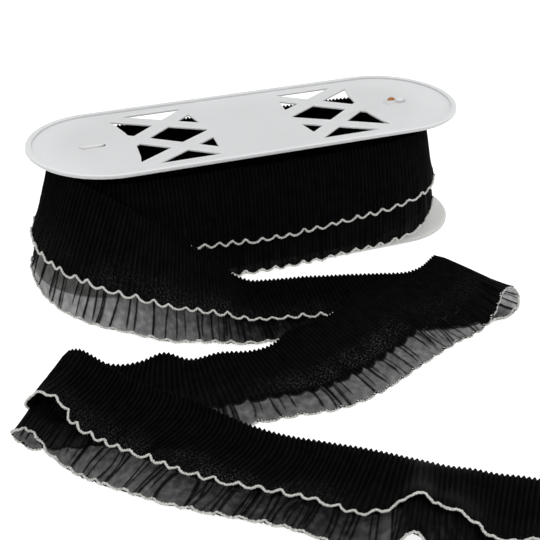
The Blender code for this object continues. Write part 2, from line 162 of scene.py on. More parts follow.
reelPlastic = {
    "tone": (0.735, 0.745, 0.755),
    "flowTone": (0.70, 0.708, 0.715),
    "flowScale": 14.0,
    "roughness": (0.36, 0.5),
    "scuffScale": 90.0,
    "grainSize": 0.0005,
    "grainDepth": 0.00002,
    "grainStrength": 0.25,
    "glow": 0.6,  # how much light the thin white plastic lets into it
    "glowDepth": 0.003,
    "paintedSideShade": 0.74,  # painted shade, of the tone, where the plastic faces sideways
    "paintedSideShadeRange": (0.25, 0.8),  # how far up the surface faces: full painted shade, none
}
# painted shade: the top flange's white plastic, its tone darkened for the shade on the bottom flange
shadedLowerPlastic = {
    **reelPlastic,
    "tone": (0.34, 0.342, 0.325),
    "flowTone": (0.32, 0.322, 0.306),
    "glow": 1.0,
    "glowDepth": 0.02,
}
capPlastic = {**reelPlastic, "tone": (0.74, 0.745, 0.745), "flowTone": (0.69, 0.69, 0.685)}


def mouldedPlastic(name, p):
    material, tree, shader = newFinish(name)
    place = tree.nodes.new("ShaderNodeTexCoord").outputs["Object"]
    # the moulding's cloudy flow, with painted shade where the surface faces sideways
    flow = addNode(tree, "ShaderNodeTexNoise", Scale=p["flowScale"], Detail=3.0)
    tree.links.new(place, flow.inputs["Vector"])
    tone = colourRamp(tree, flow.outputs["Fac"], [(0.35, p["flowTone"]), (0.7, p["tone"])])
    facing = tree.nodes.new("ShaderNodeSeparateXYZ")
    tree.links.new(tree.nodes.new("ShaderNodeNewGeometry").outputs["Normal"], facing.inputs["Vector"])
    sideShadeFrom, sideShadeTo = p["paintedSideShadeRange"]
    shade = colourRamp(tree, facing.outputs["Z"], [(sideShadeFrom, p["paintedSideShade"]), (sideShadeTo, 1.0)])
    shaded = tree.nodes.new("ShaderNodeVectorMath")
    shaded.operation = "MULTIPLY"
    tree.links.new(tone, shaded.inputs[0])
    tree.links.new(shade, shaded.inputs[1])
    tree.links.new(shaded.outputs["Vector"], shader.inputs["Base Color"])
    low, high = p["roughness"]
    scuff = addNode(tree, "ShaderNodeTexNoise", Scale=p["scuffScale"], Detail=4.0)
    tree.links.new(place, scuff.inputs["Vector"])
    scuffed = colourRamp(tree, scuff.outputs["Fac"], [(0.3, low), (0.7, high)])
    tree.links.new(scuffed, shader.inputs["Roughness"])
    grain = addNode(tree, "ShaderNodeTexNoise", Scale=1 / p["grainSize"], Detail=2.0)
    tree.links.new(place, grain.inputs["Vector"])
    bump = addNode(tree, "ShaderNodeBump", Strength=p["grainStrength"], Distance=p["grainDepth"])
    tree.links.new(grain.outputs["Fac"], bump.inputs["Height"])
    tree.links.new(bump.outputs["Normal"], shader.inputs["Normal"])
    shader.inputs["Subsurface Weight"].default_value = p["glow"]
    shader.inputs["Subsurface Radius"].default_value = (1.0, 1.0, 1.0)
    shader.inputs["Subsurface Scale"].default_value = p["glowDepth"]
    return material


roundedEdge = {"breadth": 0.0006, "steps": 3, "angle": 35, "weld": 0.00001}


def roundEdges(piece, r):  # the moulding's softened edges
    piece.modifiers.new("weld", "WELD").merge_threshold = r["weld"]
    bevel = piece.modifiers.new("roundedEdge", "BEVEL")
    bevel.width = r["breadth"]
    bevel.segments = r["steps"]
    bevel.limit_method = "ANGLE"
    bevel.angle_limit = math.radians(r["angle"])
    piece.modifiers.new("evenNormals", "WEIGHTED_NORMAL").weight = 80


sheerCloth = {
    # painted shade in the pleats' valleys and painted highlight on their ridges
    "paintedValleyShade": (0.0006, 0.0006, 0.0007),
    "ridge": (0.0058, 0.0058, 0.0059),
    "fleck": (0.10, 0.10, 0.10),  # light catching single threads, in patches of the lower half
    "fleckSize": 0.0009,
    "fleckCut": (0.54, 0.66),  # noise below and above which there is none and a full fleck
    "fleckPatch": 0.035,
    "patchCut": (0.38, 0.60),
    "unevenRidgeLightSize": 0.007,
    "threadSpacing": 0.00036,
    "threadWobble": 0.8,
    "threadDepth": 0.00006,
    "threadStrength": 0.4,
    "openness": 0.5,  # how much the weave's holes vary what shows through
    "cloudSize": 0.0045,
    "cloudiness": 1.1,
    "roughness": 0.55,
    "shine": 0.015,
}


def mathNode(tree, operation, first, second=None, third=None, clamp=False):
    node = tree.nodes.new("ShaderNodeMath")
    node.operation = operation
    node.use_clamp = clamp
    for socket, value in zip(node.inputs, (first, second, third)):
        if hasattr(value, "is_output"):
            tree.links.new(value, socket)
        elif value is not None:
            socket.default_value = value
    return node.outputs["Value"]


def clothFinish(name, c, flecked):
    material, tree, shader = newFinish(name)
    place = tree.nodes.new("ShaderNodeUVMap")
    place.uv_map = "cloth"

    def noise(size, detail=3.0):
        node = addNode(tree, "ShaderNodeTexNoise", Scale=1 / size, Detail=detail)
        tree.links.new(place.outputs["UV"], node.inputs["Vector"])
        return node.outputs["Fac"]

    weave = []
    threads = math.pi / 10 / c["threadSpacing"]  # the wave texture's scale for one band a thread
    for direction in ("X", "Y"):
        wave = addNode(tree, "ShaderNodeTexWave", Scale=threads, Distortion=c["threadWobble"])
        wave.bands_direction = direction
        wave.inputs["Detail Scale"].default_value = 2.0
        tree.links.new(place.outputs["UV"], wave.inputs["Vector"])
        weave.append(wave.outputs["Fac"])
    net = mathNode(tree, "MAXIMUM", weave[0], weave[1])

    def attribute(key):
        node = tree.nodes.new("ShaderNodeAttribute")
        node.attribute_name = key
        return node.outputs["Fac"]

    def cut(factor, limits):  # 0 below the limits, 1 above them
        return colourRamp(tree, factor, [(limits[0], 0.0), (limits[1], 1.0)])

    def mixColour(factor, first, second):
        node = tree.nodes.new("ShaderNodeMix")
        node.data_type = "RGBA"
        tree.links.new(factor, node.inputs["Factor"])
        for socket, value in ((node.inputs["A"], first), (node.inputs["B"], second)):
            if hasattr(value, "is_output"):
                tree.links.new(value, socket)
            else:
                socket.default_value = (*value, 1)
        return node.outputs["Result"]

    # painted light: the pleats' ridges lighter and their valleys darker, the highlight uneven in patches
    unevenRidgeLight = colourRamp(tree, noise(c["unevenRidgeLightSize"], 5.0), [(0.3, 0.25), (0.7, 1.0)])
    black = mixColour(mathNode(tree, "MULTIPLY", attribute("pleatTop"), unevenRidgeLight), c["paintedValleyShade"], c["ridge"])
    # painted glints in patches of the lower half, where the strip is marked flecked
    if flecked:
        flecks = cut(noise(c["fleckSize"], 1.0), c["fleckCut"])
        patches = cut(noise(c["fleckPatch"], 3.0), c["patchCut"])
        inPatches = mathNode(tree, "MULTIPLY", flecks, patches)
        black = mixColour(mathNode(tree, "MULTIPLY", inPatches, attribute("flecked")), black, c["fleck"])
    tree.links.new(black, shader.inputs["Base Color"])
    # what shows through the cloth falls off with its density, which varies by the weave and in clouds
    thinnest = 1 - c["cloudiness"] / 2
    cloud = mathNode(tree, "MULTIPLY_ADD", noise(c["cloudSize"], 4.0), c["cloudiness"], thinnest)
    woven = mathNode(tree, "MULTIPLY_ADD", net, c["openness"], 1 - 0.7 * c["openness"])
    clouded = mathNode(tree, "MULTIPLY", attribute("clothDensity"), cloud)
    density = mathNode(tree, "MULTIPLY", clouded, woven)
    through = mathNode(tree, "EXPONENT", mathNode(tree, "MULTIPLY", density, -1.0))
    tree.links.new(mathNode(tree, "SUBTRACT", 1.0, through, clamp=True), shader.inputs["Alpha"])
    bump = addNode(tree, "ShaderNodeBump", Strength=c["threadStrength"], Distance=c["threadDepth"])
    tree.links.new(net, bump.inputs["Height"])
    tree.links.new(bump.outputs["Normal"], shader.inputs["Normal"])
    shader.inputs["Roughness"].default_value = c["roughness"]
    shader.inputs["Specular IOR Level"].default_value = c["shine"]
    return material


upperThread = {
    "tone": (0.585, 0.58, 0.555),
    "shade": (0.38, 0.375, 0.355),
    "strand": 0.00022,
    "fuzzStrength": 0.5,
    "roughness": 0.85,
    "shine": 0.2,
}
lowerThread = {**upperThread, "tone": (0.55, 0.54, 0.515), "shade": (0.27, 0.265, 0.25), "strand": 0.0003}
cardScrap = {
    **upperThread,
    "tone": (0.42, 0.17, 0.045),
    "shade": (0.16, 0.055, 0.015),
    "strand": 0.0009,
    "roughness": 0.8,
}


def threadFinish(name, t):
    material, tree, shader = newFinish(name)
    place = tree.nodes.new("ShaderNodeTexCoord").outputs["Object"]
    fuzz = addNode(tree, "ShaderNodeTexNoise", Scale=1 / t["strand"] / 4, Detail=4.0)
    tree.links.new(place, fuzz.inputs["Vector"])
    tone = colourRamp(tree, fuzz.outputs["Fac"], [(0.3, t["shade"]), (0.62, t["tone"])])
    tree.links.new(tone, shader.inputs["Base Color"])
    bump = addNode(tree, "ShaderNodeBump", Strength=t["fuzzStrength"], Distance=t["strand"] / 3)
    tree.links.new(fuzz.outputs["Fac"], bump.inputs["Height"])
    tree.links.new(bump.outputs["Normal"], shader.inputs["Normal"])
    shader.inputs["Roughness"].default_value = t["roughness"]
    shader.inputs["Specular IOR Level"].default_value = t["shine"]
    return material


reelFinish = mouldedPlastic("satinWhitePlastic", reelPlastic)
postFinish = mouldedPlastic("postPlastic", reelPlastic)
capFinish = mouldedPlastic("slotCapPlastic", capPlastic)
shadedLowerFinish = mouldedPlastic("satinWhitePlasticPaintedShade", shadedLowerPlastic)
woundFinish = clothFinish("woundSheerCloth", sheerCloth, False)
longFinish = clothFinish("longFrillCloth", sheerCloth, True)
shortFinish = clothFinish("shortFrillCloth", sheerCloth, True)
lighterThreadFinish = threadFinish("lighterOverlockThread", upperThread)
lowerThreadFinish = threadFinish("lowerOverlockThread", lowerThread)
scrapFinish = threadFinish("brownCardScrap", cardScrap)
plasticParts = {
    "top_flange": reelFinish,
    "bottom_flange": shadedLowerFinish,
    "post_left": postFinish,
    "post_right": postFinish,
}
for nodeName, finish in plasticParts.items():
    nodes[nodeName].data.materials.clear()
    nodes[nodeName].data.materials.append(finish)
for nodeName in ("top_flange", "bottom_flange"):
    roundEdges(nodes[nodeName], roundedEdge)
print("materials done")


# Smooth reading of tables, and wandering lines

def smoothRead(places, rows, samples):  # a smooth curve through all rows, read at samples
    gaps = np.diff(places)
    slopes = np.diff(rows, axis=0) / gaps[:, None]
    before, after = gaps[:-1, None], gaps[1:, None]
    tangents = np.empty_like(rows)
    tangents[0], tangents[-1] = slopes[0], slopes[-1]
    tangents[1:-1] = (slopes[:-1] * after + slopes[1:] * before) / (before + after)
    i = np.clip(np.searchsorted(places, samples, side="right") - 1, 0, len(gaps) - 1)
    gap = gaps[i][:, None]
    t = ((samples - places[i]) / gaps[i])[:, None]
    start = (1 + 2 * t) * (1 - t) ** 2 * rows[i] + t * (1 - t) ** 2 * gap * tangents[i]
    return start + t * t * (3 - 2 * t) * rows[i + 1] + t * t * (t - 1) * gap * tangents[i + 1]


def wander(along, every, seed):  # a smooth random line between -1 and 1, with a turn about every so often
    draw = np.random.default_rng(seed)
    place = along / every
    low = np.floor(place).astype(int)
    heights = draw.uniform(-1, 1, int(low.max() - low.min()) + 2)
    t = place - low
    t = t * t * (3 - 2 * t)
    index = low - low.min()
    return heights[index] * (1 - t) + heights[index + 1] * t


def wanderSum(along, lines, seed):  # several such lines together, each with its size and how often it turns
    return sum(size * wander(along, every, seed + i) for i, (size, every) in enumerate(lines))


def ramp(value, low, high):  # 0 below low, 1 above high, smooth between
    t = np.clip((np.asarray(value, float) - low) / (high - low), 0, 1)
    return t * t * (3 - 2 * t)


def unit(vectors):
    return vectors / np.linalg.norm(vectors, axis=-1, keepdims=True)


# The strip's middle surface: its last wound turn and its loose end, one cloth

# A section of the loose end, mm: where its heading and its long hem lie, the height of the cloth at the
# heading, at 35 %, at 70 % and at the hem, and how far the short frill's hem is lifted
Section = namedtuple("Section", "headX headY hemX hemY headZ innerZ outerZ hemZ puff")


def wrapped(degrees, headRadius, hemRadius, *heights):  # a section against the winding's left end
    angle = math.radians(degrees)
    centre = -woundTurn["centreX"]
    head = (centre + headRadius * math.cos(angle), headRadius * math.sin(angle))
    hem = (centre + hemRadius * math.cos(angle), hemRadius * math.sin(angle))
    return Section(*head, *hem, *heights)


woundTurn = {
    "centreX": 69.4,
    "radius": (33.0, 37.6, 40.3, 42.3),  # at the heading, 35 %, 70 % and the hem
    "drawnIn": (1.3, 3.0, 2.2, 2.0),  # less than that radius at the right end
    "headHeight": (58.2, 58.9),  # at the left end and at the right
    "arcSteps": 8,
    "straightSteps": 6,
    "backLead": 0.7,  # steps between the turn's last station and the loose end's first
    # heights of both hems, the short frill's first, in the rows' order: left end (drawn up under the loose
    # end), front, right end, back
    "hems": [
        (36, 31), (36, 30), (34, 26), (29, 13), (24.5, 2.6),
        (21.9, 1.8), (20.0, 1.7), (19.0, 1.0), (20.3, 1.3), (22.0, 2.5),
        (24.8, 4.2), (26.4, 6.4), (26.3, 10.8), (26.0, 12.5), (26, 12), (25, 9), (24, 7), (23, 6), (22, 5),
        (21, 4), (21, 3.5), (21, 3.5), (21, 4), (21, 4), (21, 4),
    ],
}

looseEnd = [
    wrapped(103.5, 37.2, 46.6, 60.8, 41.0, 21.5, 4.2, 0.0),
    wrapped(119.0, 37.6, 47.4, 61.2, 41.3, 21.5, 4.2, 0.0),
    wrapped(138.0, 37.2, 48.4, 61.4, 41.3, 21.0, 4.2, 1.0),
    wrapped(170.0, 37.2, 51.4, 61.5, 41.0, 20.0, 4.0, 1.8),
    Section(-101.4, -20.0, -121.8, -26.5, 60.0, 39.0, 18.0, 0.9, 1.2),
    Section(-92.4, -31.0, -115.5, -47.0, 56.0, 36.5, 17.0, 0.9, 0.6),
    Section(-82.9, -37.8, -106.0, -61.5, 51.5, 34.0, 15.5, 0.9, 0.6),
    Section(-72.3, -39.7, -92.5, -75.0, 43.2, 28.5, 13.0, 1.2, 0.6),
    Section(-61.1, -41.4, -80.0, -87.4, 34.7, 23.0, 10.5, 1.5, 0.6),
    Section(-46.6, -43.8, -63.0, -96.0, 22.6, 15.0, 7.0, 1.65, 0.5),
    Section(-36.0, -45.2, -51.0, -101.3, 14.0, 9.5, 4.6, 1.65, 0.4),
    Section(-29.4, -46.7, -41.5, -105.5, 5.9, 4.0, 2.4, 1.65, 0.3),
    # first run
    Section(-21.5, -50.4, -31.5, -107.0, 2.2, 1.9, 1.65, 1.65, 0.0),
    Section(-1.0, -55.3, -12.0, -112.0, 1.65, 1.65, 1.65, 1.65, 0.0),
    Section(40.0, -66.3, 36.0, -124.0, 1.65, 1.65, 1.65, 1.65, 0.0),
    Section(60.0, -72.6, 65.0, -130.0, 1.65, 1.65, 1.65, 1.65, 0.0),
    # right fold
    Section(69.0, -71.7, 86.0, -129.0, 2.2, 2.0, 1.8, 1.65, 0.0),
    Section(75.5, -69.3, 97.0, -122.0, 2.9, 2.5, 2.1, 1.65, 0.0),
    Section(80.4, -68.0, 101.4, -113.8, 4.7, 4.2, 3.7, 3.1, 0.0),
    Section(78.0, -70.0, 97.0, -111.6, 6.5, 6.1, 5.7, 5.0, 0.0),
    Section(73.0, -73.4, 91.0, -115.5, 6.3, 5.9, 5.4, 4.3, 0.0),
    # second run, its back up
    Section(67.0, -77.3, 83.5, -123.2, 6.0, 5.8, 5.3, 3.1, 0.0),
    Section(60.0, -80.5, 76.0, -130.0, 5.8, 5.6, 5.2, 1.8, 0.0),
    Section(50.0, -83.5, 68.0, -134.0, 5.6, 5.6, 4.8, 0.2, 0.0),
    Section(27.5, -86.3, 47.0, -141.0, 5.6, 5.6, 4.0, -0.1, 0.0),
    Section(4.5, -99.0, 21.0, -152.5, 5.6, 4.2, 2.2, -0.1, 0.0),
    Section(-7.0, -104.0, 6.0, -159.5, 5.2, 2.8, 1.8, -0.1, 0.0),
    Section(-23.0, -106.5, -12.0, -166.0, 4.8, 2.4, 1.7, -0.1, 0.0),
    Section(-33.0, -111.6, -27.0, -168.0, 2.6, 1.9, 1.7, -0.1, 0.0),
    Section(-46.0, -112.0, -46.0, -165.5, 1.9, 1.7, 1.7, -0.1, 0.0),
    Section(-61.0, -109.7, -66.0, -164.0, 3.0, 1.9, 1.7, -0.1, 0.0),
    Section(-75.0, -109.0, -88.0, -161.5, 1.9, 1.7, 1.7, -0.1, 0.0),
    Section(-85.5, -103.6, -106.0, -158.5, 4.6, 2.2, 1.7, -0.1, 0.0),
    Section(-97.0, -102.6, -126.0, -155.0, 2.2, 1.8, 1.7, -0.1, 0.0),
    Section(-108.0, -101.0, -145.0, -151.0, 2.6, 1.8, 1.7, 0.1, 0.0),
    # left fold
    Section(-118.0, -95.4, -160.0, -145.0, 3.6, 2.4, 2.0, 0.6, 0.0),
    Section(-127.2, -89.6, -165.2, -136.0, 7.0, 6.0, 5.4, 4.4, 0.4),
    Section(-123.2, -95.0, -160.6, -141.6, 10.6, 9.6, 9.4, 8.8, 4.0),
    Section(-116.8, -103.0, -156.6, -146.6, 8.8, 8.0, 8.0, 7.2, 4.6),
    Section(-112.2, -110.0, -153.8, -152.4, 6.4, 5.6, 4.9, 2.8, 1.5),
    # third run
    Section(-106.4, -121.0, -149.0, -164.5, 5.8, 5.4, 4.0, 1.65, 0.9),
    Section(-85.9, -147.0, -132.5, -186.5, 5.8, 5.4, 3.0, 1.65, 1.0),
    Section(-67.7, -170.0, -113.5, -206.0, 2.9, 2.2, 1.8, 1.65, 0.8),
    Section(-51.0, -184.5, -90.0, -224.0, 1.65, 1.65, 1.7, 1.65, 0.6),
    Section(-37.0, -194.5, -76.0, -236.0, 1.65, 1.65, 1.8, 1.65, 0.6),
    Section(-24.0, -205.0, -63.5, -251.0, 1.65, 1.65, 1.65, 1.65, 0.4),
    Section(-17.0, -210.8, -51.5, -258.0, 1.65, 3.3, 6.2, 1.65, 0.3),
    Section(-10.5, -216.0, -41.5, -261.5, 1.65, 7.4, 14.0, 10.6, 0.3),
    Section(-4.8, -220.8, -34.5, -264.5, 1.65, 4.9, 9.6, 3.4, 0.3),
    Section(1.0, -225.5, -30.0, -271.0, 1.65, 4.8, 10.0, 1.65, 0.3),
    Section(7.0, -229.5, -26.0, -276.5, 1.65, 3.4, 6.6, 1.65, 0.3),
    Section(13.0, -234.0, -23.0, -281.0, 1.65, 1.9, 2.7, 1.65, 0.4),
    Section(36.0, -250.0, -2.0, -297.0, 1.65, 3.4, 6.4, 1.65, 0.4),
]
tableShares = np.array((0.0, 0.35, 0.7, 1.0))
rightFoldAt, leftFoldAt = 18, 36  # the sections where the cloth turns over


def looseControls():  # four points across the cloth at each section
    controls = []
    for s in looseEnd:
        heights = (s.headZ, s.innerZ, s.outerZ, s.hemZ)
        for share, z in zip(tableShares, heights):
            x = s.headX + (s.hemX - s.headX) * share
            y = s.headY + (s.hemY - s.headY) * share
            controls.append((x, y, z))
    return np.array(controls).reshape(-1, 4, 3)


# The last wound turn, four points across it: from the left end under the loose end, round by the front to
# the back, where it rises into the loose end's first section
def woundControls(w):
    stations = []
    for i in range(w["arcSteps"] // 2 + 1):
        stations.append((-w["centreX"], math.pi * (1 + i / w["arcSteps"]), 0.0))
    for i in range(1, w["straightSteps"]):
        stations.append((w["centreX"] * (2 * i / w["straightSteps"] - 1), 1.5 * math.pi, 0.0))
    for i in range(w["arcSteps"] + 1):
        stations.append((w["centreX"], math.pi * (1.5 + i / w["arcSteps"]), 0.0))
    for i in range(1, w["straightSteps"] + 1):
        share = i / (w["straightSteps"] + w["backLead"])
        stations.append((w["centreX"] * (1 - 2 * i / w["straightSteps"]), 2.5 * math.pi, share))
    first = looseControls()[0]
    centre = np.array((-w["centreX"], 0.0))
    outerRadius = np.linalg.norm(first[:, :2] - centre, axis=1)
    controls = []
    leftHead, rightHead = w["headHeight"]
    for (centreX, angle, outward), (shortHem, longHem) in zip(stations, w["hems"], strict=True):
        rightness = (centreX + w["centreX"]) / (2 * w["centreX"])
        head = leftHead + (rightHead - leftHead) * rightness
        heights = (head, (head + shortHem) / 2, shortHem, longHem)
        for k, height in enumerate(heights):
            drawnIn = w["drawnIn"][k] * max(0.0, math.cos(angle))
            radius = (w["radius"][k] - drawnIn) * (1 - outward) + outerRadius[k] * outward
            height = height * (1 - outward) + first[k, 2] * outward
            controls.append((centreX + radius * math.cos(angle), radius * math.sin(angle), height))
    return np.array(controls).reshape(-1, 4, 3)


trim = {
    "pitch": 2.2,  # mm along the heading for each pleat
    "samples": 8,  # for each pleat
    "wavePitch": 7.9,  # mm between the hem's waves, by the heading's and the hem's length
    "headShare": 0.65,  # how much the heading's length counts in that
    "width": 60.0,
    "shortShare": 0.70,
    "fullness": 1.45,  # cloth in the pleats for each mm of heading
    "readStep": 0.25,  # mm, where the strip's lie is measured
    "turnOver": 4.0,  # mm on each side of a fold's middle in which the cloth changes its face
    "lowestMiddle": 1.65,  # mm above the floor, where two layers of pleats lie flat
}


# Along the strip, read between the rows: the section's number from the loose end's first one; the sheer
# band's density; how many fine creases it has; how high its hems wave; how broad the waves' points are; how
# much of the wave the long hem has; how far the pleats bow towards the cut end above the short hem, mm; how
# many glints it has
alongStrip = [
    (-25, 5.0, 0.4, 1.1, 0.26, 2.6, 0.0, 0.0),
    (-9, 6.0, 0.4, 1.1, 0.26, 2.6, 0.0, 0.0),
    (0, 1.6, 0.0, 1.2, 0.24, 1.2, 0.0, 0.0),
    (3, 1.25, 0.0, 1.2, 0.24, 1.2, 0.0, 0.1),
    (6, 1.55, 0.1, 1.1, 0.23, 1.2, 0.0, 0.2),
    (9, 2.6, 0.3, 1.0, 0.23, 1.1, 0.0, 0.45),
    (12, 5.2, 1.0, 0.85, 0.24, 0.8, 0.0, 0.3),
    (15, 5.2, 1.0, 0.8, 0.24, 0.8, 0.0, 0.1),
    (17, 1.1, 0.0, 1.15, 0.22, 0.8, 0.0, 0.1),
    (18.2, 1.1, 0.0, 1.15, 0.22, 1.0, 0.0, 0.1),
    (18.7, 6.5, 0.2, 1.15, 0.22, 1.0, 0.0, 0.1),
    (22.3, 6.0, 0.2, 0.8, 0.20, 1.1, 0.0, 0.2),
    (22.9, 1.9, 0.2, 0.8, 0.20, 1.1, 0.0, 0.1),
    (24, 2.0, 0.2, 0.8, 0.20, 1.1, 0.0, 0.25),
    (27, 2.2, 0.2, 0.8, 0.20, 1.1, 0.0, 0.8),
    (29, 2.4, 0.3, 0.8, 0.20, 1.1, 0.0, 0.25),
    (31, 2.5, 0.3, 0.8, 0.20, 1.1, 0.0, 0.1),
    (34, 2.2, 0.3, 0.9, 0.20, 1.1, 0.0, 0.2),
    (36, 3.0, 0.3, 0.4, 0.22, 1.1, 0.0, 0.3),
    (38, 2.8, 0.3, 0.6, 0.22, 1.1, 1.5, 0.3),
    (39, 2.8, 0.2, 0.9, 0.23, 1.1, 2.5, 0.3),
    (41, 2.5, 0.2, 0.9, 0.24, 1.0, 5.0, 0.5),
    (43, 3.6, 0.5, 0.85, 0.24, 1.0, 3.5, 0.5),
    (44, 4.2, 1.0, 0.8, 0.25, 1.0, 1.0, 0.25),
    (45, 3.6, 1.0, 0.7, 0.25, 0.9, 0.0, 0.1),
    (46, 2.9, 0.7, 0.6, 0.25, 0.9, 0.0, 0.1),
    (46.5, 5.5, 0.7, 0.5, 0.25, 0.9, 0.0, 0.1),
    (47.2, 8.0, 0.5, 0.5, 0.25, 0.9, 0.0, 0.1),
    (48, 5.5, 1.0, 0.5, 0.25, 0.9, 0.0, 0.1),
    (51, 6.5, 1.0, 0.5, 0.25, 0.9, 0.0, 0.1),
]


def layStrip(t):  # every station's four control points, spaced by pleats
    wound, loose = woundControls(woundTurn), looseControls()
    controls = np.concatenate((wound, loose))
    steps = np.linalg.norm(np.diff(controls, axis=0), axis=2)
    places = np.concatenate(([0.0], np.cumsum((steps[:, 0] + steps[:, 3]) / 2)))
    puffs = np.concatenate((np.zeros(len(wound)), [s.puff for s in looseEnd]))
    folds = [places[len(wound) + foldAt] for foldAt in (rightFoldAt, leftFoldAt)]
    rows = np.concatenate((controls.reshape(len(controls), 12), puffs[:, None]), axis=1)
    fine = np.arange(0.0, places[-1], t["readStep"])
    read = smoothRead(places, rows, fine)
    head = np.linalg.norm(np.diff(read[:, 0:3], axis=0), axis=1)
    hem = np.linalg.norm(np.diff(read[:, 9:12], axis=0), axis=1)
    pleats = np.concatenate(([0.0], np.cumsum(head))) / t["pitch"]
    mixed = np.concatenate(([0.0], np.cumsum(head * t["headShare"] + hem * (1 - t["headShare"]))))
    wanted = np.arange(0.0, pleats[-1], 1 / t["samples"])
    along = np.interp(wanted, pleats, fine)
    strip = smoothRead(places, rows, along)
    overRight, overLeft = (ramp(along, fold - t["turnOver"], fold + t["turnOver"]) for fold in folds)
    up = 1.0 - 2 * overRight + 2 * overLeft

    def station(column):  # a column of the table along the strip, read at every station
        numbers = np.array([row[0] for row in alongStrip]) + len(wound)
        at = np.interp(numbers, np.arange(len(places)), places)
        return np.interp(along, at, [row[column] for row in alongStrip])

    return {
        "controls": strip[:, :12].reshape(-1, 4, 3),
        "puff": strip[:, 12],
        "pleat": wanted,
        "waveTurn": np.interp(along, fine, mixed) / t["wavePitch"],
        "along": along,
        "up": up,
        "density": station(1),
        "fineCreases": station(2),
        "waveHeight": station(3),
        "waveBreadth": station(4),
        "longWave": station(5),
        "bow": station(6),
        "flecked": station(7),
        "seam": int(np.searchsorted(along, places[len(wound)])),
    }


strip = layStrip(trim)
print("strip laid:", len(strip["pleat"]), "stations, seam at", strip["seam"])


# Pleated frills

hemFolds = {
    "seed": 11,
    "stray": 0.15,  # of a wave, how far a wave's middle strays
    "waveSize": (0.7, 1.1),
    "waveSharpness": 1.6,
    "band": (0.66, 0.34),  # where the sheer band starts and how broad it is, of the trim's width
    "creaseBreadth": (0.017, 0.034),  # of a wave, for the pressed creases in the sheer band
    "creaseSlant": 0.13,
    "creaseBend": 0.09,
    "creaseStray": 0.05,
    "creaseReach": (0.75, 1.5),  # of the band, before it fades
    "creaseFade": (0.1, 0.25),  # at its upper end and at its lower one
    "apartStray": (0.7, 1.3),
    "families": [  # how often a wave has such a crease, how far from its middle, least and greatest force
        (1.0, 0.0, 0.75, 1.0),
        (0.3, 0.13, 0.5, 0.95),
        (0.75, 0.46, 0.4, 0.95),
    ],
    "fineCreases": [(0.9, 0.28, 0.3, 0.8), (0.9, -0.24, 0.3, 0.8)],
    "lap": 0.14,  # of a wave, how far the doubled cloth beside a crease reaches
}


def wavesOf(turns, seed):  # the waves nearest each station: their number and how far off their middle is
    f = hemFolds
    draw = np.random.default_rng(seed)
    count = int(turns.max()) + 4
    shift = draw.uniform(-f["stray"], f["stray"], count)
    nearest = np.floor(turns).astype(int)
    numbers = (np.maximum(nearest - 1, 0), nearest, nearest + 1)
    return [(k, turns - k - shift[k]) for k in numbers], draw, count


def zigzag(turns, breadth):  # the hem's wave, 1 at the points that are drawn towards the heading
    near, draw, count = wavesOf(turns, hemFolds["seed"])
    height = draw.uniform(*hemFolds["waveSize"], count)
    wave = np.zeros_like(turns)
    for k, away in near:
        wave = np.maximum(wave, height[k] * np.exp(-np.abs(away / breadth) ** hemFolds["waveSharpness"]))
    return wave


def creases(turns, shares, fine):  # the sheer band's creases: height, lean and lapped cloth beside them
    f = hemFolds
    near, draw, count = wavesOf(turns, f["seed"])
    height, lean, lap = (np.zeros((len(turns), len(shares))) for _ in range(3))
    bandTop, bandBreadth = f["band"]
    fadeIn, fadeOut = f["creaseFade"]
    stray = f["creaseStray"]
    down = np.clip((shares - bandTop) / bandBreadth, 0, 1)[None, :]
    slant = draw.normal(0, f["creaseSlant"], count)
    bend = draw.normal(0, f["creaseBend"], count)
    side = draw.choice((-1.0, 1.0), count)
    middle = draw.uniform(-stray, stray, count)
    kinds = [(*family, False) for family in f["families"]]
    kinds += [(*family, True) for family in f["fineCreases"]]
    for often, apart, least, most, isFine in kinds:
        chance = draw.uniform(0, 1, count) / often
        place = middle + side * apart * draw.uniform(*f["apartStray"], count)
        lineSlant = slant + draw.normal(0, stray, count)
        force = draw.uniform(least, most, count)
        breadth = draw.uniform(*f["creaseBreadth"], count)
        reach = draw.uniform(*f["creaseReach"], count)
        for k, away in near:
            path = place[k][:, None] + lineSlant[k][:, None] * down + bend[k][:, None] * np.sin(3 * down)
            end = reach[k][:, None]
            fade = ramp(down, 0.0, fadeIn) * (1 - ramp(down, end - fadeOut, end))
            present = chance[k] < (fine if isFine else 1.0)
            fold = (force[k] * present)[:, None] * fade
            beside = (away[:, None] - path) * side[k][:, None]
            bump = fold * np.exp(-0.5 * (beside / breadth[k][:, None]) ** 2)
            height = np.maximum(height, bump)
            lean = np.where(bump > np.abs(lean), bump * side[k][:, None], lean)
            lap = np.maximum(lap, fold * np.exp(-0.5 * (beside / f["lap"]) ** 2) * (beside > 0))
    return height, lean, lap


longFrill = {
    "shares": (  # the columns of the mesh, of the trim's width from the heading
        0, 0.012, 0.04, 0.09, 0.16, 0.25, 0.34, 0.43, 0.51, 0.58, 0.64, 0.68,
        0.70, 0.72, 0.75, 0.79, 0.84, 0.89, 0.94, 0.98, 0.992, 1.0, 1.017,
    ),
    "side": -1,
    "hemColumn": -2,  # the cloth's edge shows outside its hem cord
    "offset": 0.95,  # mm from the strip's middle surface
    # across the frill, shares and values: the pleats' depth, how much the hem's waves lift it, how high its
    # creases stand, how much the waves pull it towards the heading
    "depth": ((0, 0.02, 0.12, 0.5, 0.66, 0.74, 1.0), (0.5, 0.6, 0.7, 0.6, 0.45, 0.12, 0.10)),
    "waveLift": ((0, 0.7, 0.85, 1.0), (0, 0.0, 0.4, 1.0)),
    "creaseHeight": ((0, 0.66, 0.74, 0.9, 1.0), (0, 0.0, 0.7, 0.9, 0.8)),
    "hemPull": ((0, 0.82, 1.0), (0, 0.0, 1.0)),
    "density": ((0, 0.64, 0.665, 0.992, 1.0), (9.0, 9.0, 0.0, 0.0, 9.0)),  # 0 is the sheer band's own
}
